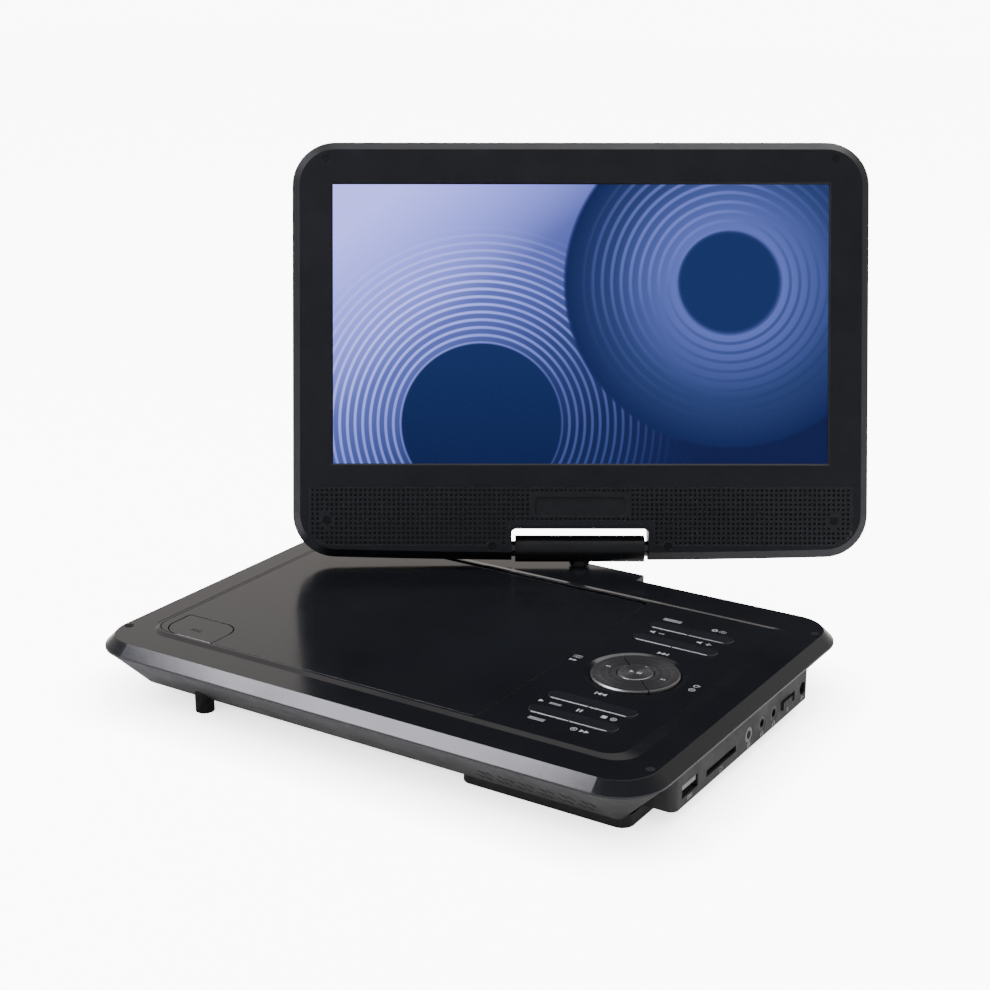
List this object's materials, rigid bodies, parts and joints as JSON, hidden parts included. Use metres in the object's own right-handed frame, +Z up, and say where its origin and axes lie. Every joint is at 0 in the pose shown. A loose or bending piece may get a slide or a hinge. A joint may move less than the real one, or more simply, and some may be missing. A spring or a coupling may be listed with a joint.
{
  "type": "portable dvd player",
  "caption": "Battery portable disc player: flat base with a lidded disc drive and keys, and a wide screen that swivels and folds on a two-axis hinge.",
  "frame": {"origin": "on the table, in the middle of the whole object's footprint with the screen turned and leaned back", "axes": "+Z up, -Y towards the base's front edge, +X towards the socket wall"},
  "size_m": [0.2674, 0.2972, 0.2113],
  "materials": {
    "upper_case": "piano black, polished",
    "lower_case": "fine moulded grain",
    "base_plugs": "matte rubber",
    "case_screws": "zinc plated",
    "rubber_feet": "matte rubber",
    "battery_cover": "fine moulded grain",
    "battery_pack": "aluminium cell cans in a foil sleeve",
    "main_board": "solder mask",
    "usb_socket": "tin plated shell",
    "card_slot": "folded steel",
    "av_jack": "moulded, pale nose ring",
    "headphone_jack_a": "moulded",
    "headphone_jack_b": "moulded",
    "dc_jack": "moulded",
    "power_switch_body": "folded steel",
    "power_switch_knob": "ribbed",
    "key_board": "solder mask",
    "dome_switches": "spring steel",
    "disc_door": "piano black, polished",
    "door_hinge_pin": "drawn wire",
    "door_button": "polished",
    "button_spring": "spring wire",
    "loader_chassis": "pressed steel",
    "loader_dampers": "soft rubber",
    "spindle_motor": "drawn can",
    "turntable": "moulded with a rubber ring",
    "guide_rods": "ground rod",
    "pickup_sled": "die cast",
    "pickup_lens": "coated lens",
    "sled_motor": "drawn can",
    "feed_screw": "rolled screw",
    "swivel_bracket": "pressed steel",
    "swivel_post": "black nickel",
    "swivel_nut": "blackened washers",
    "barrel_front": "satin",
    "barrel_rear": "satin",
    "hinge_bracket": "turned steel",
    "tilt_shafts": "black nickel",
    "screen_bezel": "satin, fine grain",
    "screen_back": "piano black, polished",
    "lcd_panel": "anti-glare film, lit picture",
    "backlight": "light guide in a white moulded frame",
    "screen_board": "solder mask",
    "speakers": "moulded frame",
    "speaker_grille": "satin, perforated",
    "screen_plugs": "matte rubber",
    "screen_screws": "zinc plated",
    "key_1": "polished",
    "key_2": "polished",
    "key_3": "polished",
    "key_4": "polished",
    "key_5": "polished",
    "key_6": "polished",
    "key_7": "polished",
    "key_8": "polished",
    "pad_up": "spun metallic coating",
    "pad_down": "spun metallic coating",
    "pad_left": "spun metallic coating",
    "pad_right": "spun metallic coating",
    "pad_centre": "spun metallic coating"
  },
  "bodies": {
    "base": {"upper_case": "upper_case", "lower_case": "lower_case", "base_plugs": "base_plugs", "case_screws": "case_screws", "rubber_feet": "rubber_feet", "battery_cover": "battery_cover", "battery_pack": "battery_pack", "main_board": "main_board", "usb_socket": "usb_socket", "card_slot": "card_slot", "av_jack": "av_jack", "headphone_jack_a": "headphone_jack_a", "headphone_jack_b": "headphone_jack_b", "dc_jack": "dc_jack", "power_switch_body": "power_switch_body", "key_board": "key_board", "dome_switches": "dome_switches", "door_hinge_pin": "door_hinge_pin", "button_spring": "button_spring", "loader_chassis": "loader_chassis", "loader_dampers": "loader_dampers", "spindle_motor": "spindle_motor", "guide_rods": "guide_rods", "sled_motor": "sled_motor", "swivel_bracket": "swivel_bracket"},
    "swivel": {"swivel_post": "swivel_post", "swivel_nut": "swivel_nut", "barrel_front": "barrel_front", "barrel_rear": "barrel_rear", "hinge_bracket": "hinge_bracket"},
    "screen": {"tilt_shafts": "tilt_shafts", "screen_bezel": "screen_bezel", "screen_back": "screen_back", "lcd_panel": "lcd_panel", "backlight": "backlight", "screen_board": "screen_board", "speakers": "speakers", "speaker_grille": "speaker_grille", "screen_plugs": "screen_plugs", "screen_screws": "screen_screws"},
    "door": {"disc_door": "disc_door"},
    "door_button": {"door_button": "door_button"},
    "switch": {"power_switch_knob": "power_switch_knob"},
    "spindle": {"turntable": "turntable"},
    "sled": {"pickup_sled": "pickup_sled", "pickup_lens": "pickup_lens"},
    "screw": {"feed_screw": "feed_screw"},
    "key_1": {"key_1": "key_1"},
    "key_2": {"key_2": "key_2"},
    "key_3": {"key_3": "key_3"},
    "key_4": {"key_4": "key_4"},
    "key_5": {"key_5": "key_5"},
    "key_6": {"key_6": "key_6"},
    "key_7": {"key_7": "key_7"},
    "key_8": {"key_8": "key_8"},
    "pad_up": {"pad_up": "pad_up"},
    "pad_down": {"pad_down": "pad_down"},
    "pad_left": {"pad_left": "pad_left"},
    "pad_right": {"pad_right": "pad_right"},
    "pad_centre": {"pad_centre": "pad_centre"}
  },
  "joints": [
    {"name": "screen_swivel", "type": "hinge", "parent": "base", "child": "swivel", "pos_m": [0.0037, 0.03401, 0.0351], "axis": [0, 0, 1], "range_deg": [-32.3, 147.7]},
    {"name": "screen_tilt", "type": "hinge", "parent": "swivel", "child": "screen", "pos_m": [0.0037, 0.03401, 0.0351], "axis": [0.8453, 0.5344, 0], "range_deg": [-48, 105.7]},
    {"name": "disc_door_hinge", "type": "hinge", "parent": "base", "child": "door", "pos_m": [0.0037, 0.01031, 0.0215], "axis": [-1, 0, 0], "range_deg": [0, 4.5]},
    {"name": "door_button_press", "type": "slide", "parent": "base", "child": "door_button", "axis": [0, 0, -1], "range_m": [0, 0.0012], "stiffness_N_per_m": 400, "deforming": ["button_spring"]},
    {"name": "power_switch_slide", "type": "slide", "parent": "base", "child": "switch", "axis": [0, 1, 0], "range_m": [0, 0.0025]},
    {"name": "spindle_turn", "type": "hinge", "parent": "base", "child": "spindle", "pos_m": [-0.0298, -0.05659, 0.02], "axis": [0, 0, 1], "continuous": true},
    {"name": "sled_travel", "type": "slide", "parent": "base", "child": "sled", "axis": [0, -1, 0], "range_m": [0, 0.034]},
    {"name": "feed_screw_turn", "type": "hinge", "parent": "base", "child": "screw", "pos_m": [-0.0003, -0.08659, 0.014], "axis": [0, 1, 0], "range_deg": [-10, 4090]},
    {"name": "key_1_press", "type": "slide", "parent": "base", "child": "key_1", "axis": [0, 0, -1], "range_m": [0, 0.0005], "stiffness_N_per_m": 300},
    {"name": "key_2_press", "type": "slide", "parent": "base", "child": "key_2", "axis": [0, 0, -1], "range_m": [0, 0.0005], "stiffness_N_per_m": 300},
    {"name": "key_3_press", "type": "slide", "parent": "base", "child": "key_3", "axis": [0, 0, -1], "range_m": [0, 0.0005], "stiffness_N_per_m": 300},
    {"name": "key_4_press", "type": "slide", "parent": "base", "child": "key_4", "axis": [0, 0, -1], "range_m": [0, 0.0005], "stiffness_N_per_m": 300},
    {"name": "key_5_press", "type": "slide", "parent": "base", "child": "key_5", "axis": [0, 0, -1], "range_m": [0, 0.0005], "stiffness_N_per_m": 300},
    {"name": "key_6_press", "type": "slide", "parent": "base", "child": "key_6", "axis": [0, 0, -1], "range_m": [0, 0.0005], "stiffness_N_per_m": 300},
    {"name": "key_7_press", "type": "slide", "parent": "base", "child": "key_7", "axis": [0, 0, -1], "range_m": [0, 0.0005], "stiffness_N_per_m": 300},
    {"name": "key_8_press", "type": "slide", "parent": "base", "child": "key_8", "axis": [0, 0, -1], "range_m": [0, 0.0005], "stiffness_N_per_m": 300},
    {"name": "pad_up_press", "type": "slide", "parent": "base", "child": "pad_up", "axis": [0, 0, -1], "range_m": [0, 0.0005], "stiffness_N_per_m": 300},
    {"name": "pad_down_press", "type": "slide", "parent": "base", "child": "pad_down", "axis": [0, 0, -1], "range_m": [0, 0.0005], "stiffness_N_per_m": 300},
    {"name": "pad_left_press", "type": "slide", "parent": "base", "child": "pad_left", "axis": [0, 0, -1], "range_m": [0, 0.0005], "stiffness_N_per_m": 300},
    {"name": "pad_right_press", "type": "slide", "parent": "base", "child": "pad_right", "axis": [0, 0, -1], "range_m": [0, 0.0005], "stiffness_N_per_m": 300},
    {"name": "pad_centre_press", "type": "slide", "parent": "base", "child": "pad_centre", "axis": [0, 0, -1], "range_m": [0, 0.0005], "stiffness_N_per_m": 300}
  ],
  "couplings": [
    {"joint": "feed_screw_turn", "follows": "sled_travel", "rad_per_m": 2094.4}
  ]
}
